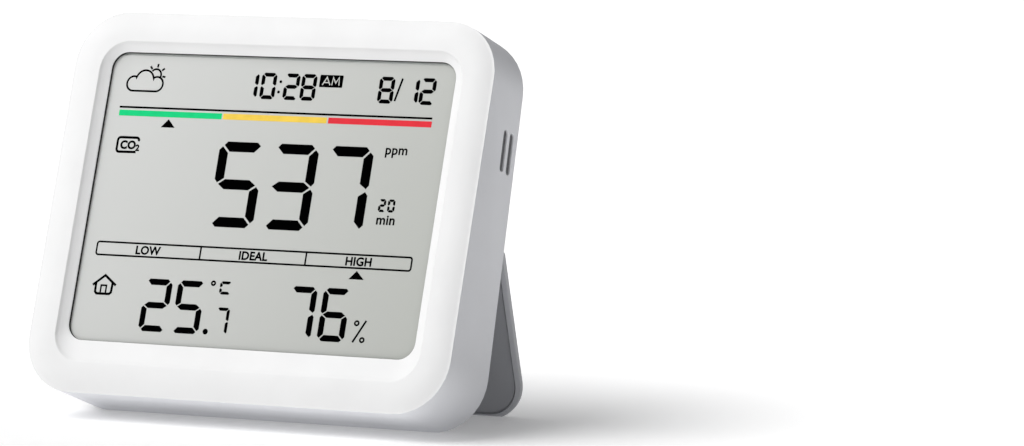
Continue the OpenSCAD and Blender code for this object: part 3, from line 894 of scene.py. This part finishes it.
def make_clock():
    small = {"z0": 61.35, "w": 3.4, "h": 5.4, "t": 0.8, "gap": 0.13}
    clock = digit("1", -8.4, **small) + digit("0", -4.4, **small)
    clock += digit("2", 0.8, **small) + digit("8", 4.6, **small)
    clock += [disc(-0.2, 62.9, 0.3), disc(-0.05, 65.0, 0.3)]
    figure("display_clock", clock)
    date = digit("8", 21.85, **small) + digit("1", 27.3, **small) + digit("2", 30.95, **small)
    date += stroke([(25.72, 61.9), (26.82, 66.5)], 0.42)
    figure("display_date", date)


def make_am_badge():
    z0, z1 = 64.65, 66.25
    crossbar_z = 65.15
    mark = stroke([(9.3, z0), (10.15, z1), (11.0, z0)], 0.23)
    mark += stroke([(9.6, crossbar_z), (10.7, crossbar_z)], 0.2)
    mark += stroke([(11.4, z0), (11.55, z1), (12.2, 65.1), (12.85, z1), (13.0, z0)], 0.23)
    figure("display_am_badge", [box_outline(8.6, 13.75, 64.2, 66.7, 0.2)])
    figure("display_am_mark", mark, "knockout", rise=INK_T)


def make_colour_scale():
    band_z0, band_z1 = 56.9, 58.1
    figure("display_scale_line", [box_outline(-35.7, 34.55, 58.5, 58.9, 0.05)])
    for colour, x0, x1 in (("green", -35.6, -12.05), ("yellow", -11.75, 11.5), ("red", 11.85, 34.6)):
        figure(f"display_band_{colour}", [box_outline(x0, x1, band_z0, band_z1, 0.05)], colour)
    figure("display_pointers", [[(-25.5, 54.8), (-22.35, 54.8), (-23.95, 56.5)],
                                [(21.8, 26.05), (25.1, 26.05), (23.35, 27.75)]])


def make_gas_reading():
    """Gas badge, reading, its unit and its age."""
    frame_line = (arc(-30.55, 51.85, 0.6, -10, 90, 4) + arc(-34.2, 51.85, 0.6, 90, 180, 4)
                  + arc(-34.2, 50.05, 0.6, 180, 270, 4) + arc(-30.5, 50.0, 0.5, 270, 290, 3))
    figure("display_gas_badge", stroke(frame_line, BOLD))
    lettering("display_gas_mark", "CO", -34.1, 50.15, 2.3, weight=0.11)
    lettering("display_gas_index", "2", -30.5, 49.8, 1.75, weight=0.08)
    figure("display_reading", number("537", -11.35, 35.1, 10.2, 17.35, 2.05, 0.42, 12.1))
    lettering("display_unit_mark", "ppm", 25.4, 51.2, 2.75, weight=0.055)
    figure("display_age", number("20", 25.8, 39.65, 1.6, 2.6, 0.5, 0.06, 2.0))
    lettering("display_age_unit", "min", 25.75, 37.2, 2.75, weight=0.07)


def make_humidity_scale():
    """A long box in three stretches, each with its word."""
    scale = stroke(box_outline(-35.5, 34.9, 28.3, 30.95, 0.5), THIN, closed=True)
    for x in (-11.85, 11.75):
        scale += stroke([(x, 28.35), (x, 30.9)], THIN)
    figure("display_humidity_scale", scale)
    for name, text, x in (("low", "LOW", -23.8), ("mid", "IDEAL", 0.0), ("high", "HIGH", 23.4)):
        lettering(f"display_{name}_mark", text, x, 28.8, 2.35, centred=True, weight=0.08)


def make_house_icon():
    ground = 20.4
    roof = [(-35.0, 22.1), (-32.45, 24.15), (-29.75, 22.2)]
    walls = [(-34.3, 22.6), (-34.25, 20.75), (-33.9, ground), (-31.0, ground), (-30.6, 20.75),
             (-30.55, 22.7)]
    door = [(-33.05, ground), (-33.05, 22.1), (-31.85, 22.1), (-31.85, ground)]
    figure("display_house_icon", stroke(roof, BOLD) + stroke(walls, BOLD) + stroke(door, THIN))


def make_temperature():
    reading = number("25", -23.1, 13.35, 6.2, 10.65, 1.25, 0.26, 7.45) + [disc(-7.9, 14.0, 0.58)]
    reading += digit("7", -6.1, 13.55, 2.95, 5.45, 0.64, 0.12)
    reading += digit("C", -6.25, 21.6, 2.6, 2.65, 0.58, 0.1)
    reading += stroke(disc(-7.8, 23.75, 0.38), THIN, closed=True)
    figure("display_temperature", reading)


def make_humidity():
    reading = number("76", 9.5, 13.5, 6.0, 10.6, 1.25, 0.26, 7.35)
    reading += stroke([(24.75, 13.65), (27.1, 18.05)], LINE)
    for x, z in ((25.1, 17.45), (26.75, 14.2)):
        reading += stroke(disc(x, z, 0.42), THIN, closed=True)
    figure("display_humidity", reading)


def make_display():
    make_weather_icon()
    make_clock()
    make_am_badge()
    make_colour_scale()
    make_gas_reading()
    make_humidity_scale()
    make_house_icon()
    make_temperature()
    make_humidity()


# ---------------------------------------------------------------- CAD pieces that stay

KEPT = {
    "display_polariser": "face", "display_glass": "pane",
    "display_reflector": "reflector", "zebra_strip": "elastomer", "mid_frame": "chassis",
    "main_board": "board", "co2_sensor": "can", "wireless_module": "can", "humidity_sensor": "chip",
    "buzzer": "chip", "usb_socket": "steel", "refresh_plunger": "chip", "refresh_switch": "steel",
    "unit_plunger": "chip", "unit_switch": "steel", "battery_upper": "jacket", "battery_lower": "jacket",
    "battery_contacts_left": "steel", "battery_contacts_right": "steel", "hinge_pins": "steel",
    "case_screws": "steel", "board_screws": "steel", "vent_screens": "mesh",
}


def finish_kept_nodes():
    for name, material in KEPT.items():
        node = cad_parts[name]
        for slot in node.material_slots:
            slot.material = MATERIALS[material]
        if not node.material_slots:
            node.data.materials.append(MATERIALS[material])


# ---------------------------------------------------------------- camera, floor and light

CAMERA_AT = Vector((0.4723, -0.8465, 0.1337))
CAMERA_RIGHT = Vector((0.8963, 0.4434, 0.0002))
CAMERA_FORWARD = Vector((-0.4413, 0.8921, -0.0972))
LENS = 174.1
SUN_WAY = Vector((0.47, 0.43, -0.77))    # the way its light travels
SUN_SIZE = math.radians(50)
SUN_POWER = 2.06
GLOW_NEAR = (0.045, 0.175)               # distance from the object in metres, and strength of the floor's painted glow
GLOW_FAR = (0.15, 0.45)
LIT_WALL = (0.50, 0.50, 0.50)
DARK_WALL = (0.035, 0.036, 0.04)


def make_camera():
    camera = bpy.data.cameras.new("camera")
    camera.sensor_width = 36.0
    camera.lens = LENS
    camera.clip_start = 0.05
    camera.clip_end = 50.0
    holder = link("camera", camera)
    forward = CAMERA_FORWARD.normalized()
    right = (CAMERA_RIGHT - forward * CAMERA_RIGHT.dot(forward)).normalized()
    up = right.cross(forward)
    turn = Matrix((right, up, -forward)).transposed().to_4x4()
    holder.matrix_world = Matrix.Translation(CAMERA_AT) @ turn
    bpy.context.scene.camera = holder


def floor_material():
    """Pale paper floor with a painted glow: it emits light, weakly near the object, which leaves a
    painted shade pool round its base, and fully farther out.
    """
    mat, tree, shader = new_material("painted_glow_floor", 0.9, spec=0.1)
    paper = ramp(tree, noise(tree, 3.0), [(0.3, (0.93, 0.93, 0.93)), (0.7, (0.95, 0.95, 0.95))])
    tree.links.new(paper, shader.inputs["Base Color"])
    coords = tree.nodes.new("ShaderNodeTexCoord")
    reach = tree.nodes.new("ShaderNodeVectorMath")
    reach.operation = "LENGTH"
    tree.links.new(coords.outputs["Object"], reach.inputs[0])
    glow = tree.nodes.new("ShaderNodeMapRange")
    glow.interpolation_type = "SMOOTHSTEP"
    glow.inputs["From Min"].default_value, glow.inputs["To Min"].default_value = GLOW_NEAR
    glow.inputs["From Max"].default_value, glow.inputs["To Max"].default_value = GLOW_FAR
    tree.links.new(reach.outputs["Value"], glow.inputs["Value"])
    shader.inputs["Emission Color"].default_value = (1.0, 1.0, 1.0, 1.0)
    tree.links.new(glow.outputs["Result"], shader.inputs["Emission Strength"])
    return mat


def make_floor():
    bm = bmesh.new()
    bmesh.ops.create_grid(bm, x_segments=4, y_segments=4, size=6.0)
    mesh = bpy.data.meshes.new("floor")
    bm.to_mesh(mesh)
    bm.free()
    mesh.materials.append(floor_material())
    link("floor", mesh)


def make_world():
    """Dim studio walls, dimmer on the right where nothing is lit."""
    world = bpy.data.worlds.new("studio")
    bpy.context.scene.world = world
    world.use_nodes = True
    tree = world.node_tree
    back = tree.nodes["Background"]
    coords = tree.nodes.new("ShaderNodeTexCoord")
    split = tree.nodes.new("ShaderNodeSeparateXYZ")
    tree.links.new(coords.outputs["Generated"], split.inputs["Vector"])
    side = tree.nodes.new("ShaderNodeMapRange")
    side.inputs["From Min"].default_value = -1.0
    side.inputs["From Max"].default_value = 1.0
    tree.links.new(split.outputs["X"], side.inputs["Value"])
    walls = ramp(tree, side.outputs["Result"], [(0.2, LIT_WALL), (0.95, DARK_WALL)])
    tree.links.new(walls, back.inputs["Color"])
    back.inputs["Strength"].default_value = 1.0


def make_light():
    sun = bpy.data.lights.new("key_soft", "SUN")
    sun.angle = SUN_SIZE
    sun.energy = SUN_POWER
    holder = link("key_soft", sun)
    holder.matrix_world = SUN_WAY.to_track_quat("-Z", "Y").to_matrix().to_4x4()


# ---------------------------------------------------------------- build

make_camera()
make_floor()
make_world()
make_light()
make_front_cover()
make_bezel_tape()
make_rear_housing()
make_screw_posts()
make_painted_vent_shade()
make_battery_door()
make_door_lugs()
make_stand()
make_painted_shade_pad()
make_stand_barrels()
make_refresh_button()
make_unit_button()
make_display()
finish_kept_nodes()
bpy.context.scene.view_settings.view_transform = "Standard"

bpy.context.view_layer.update()
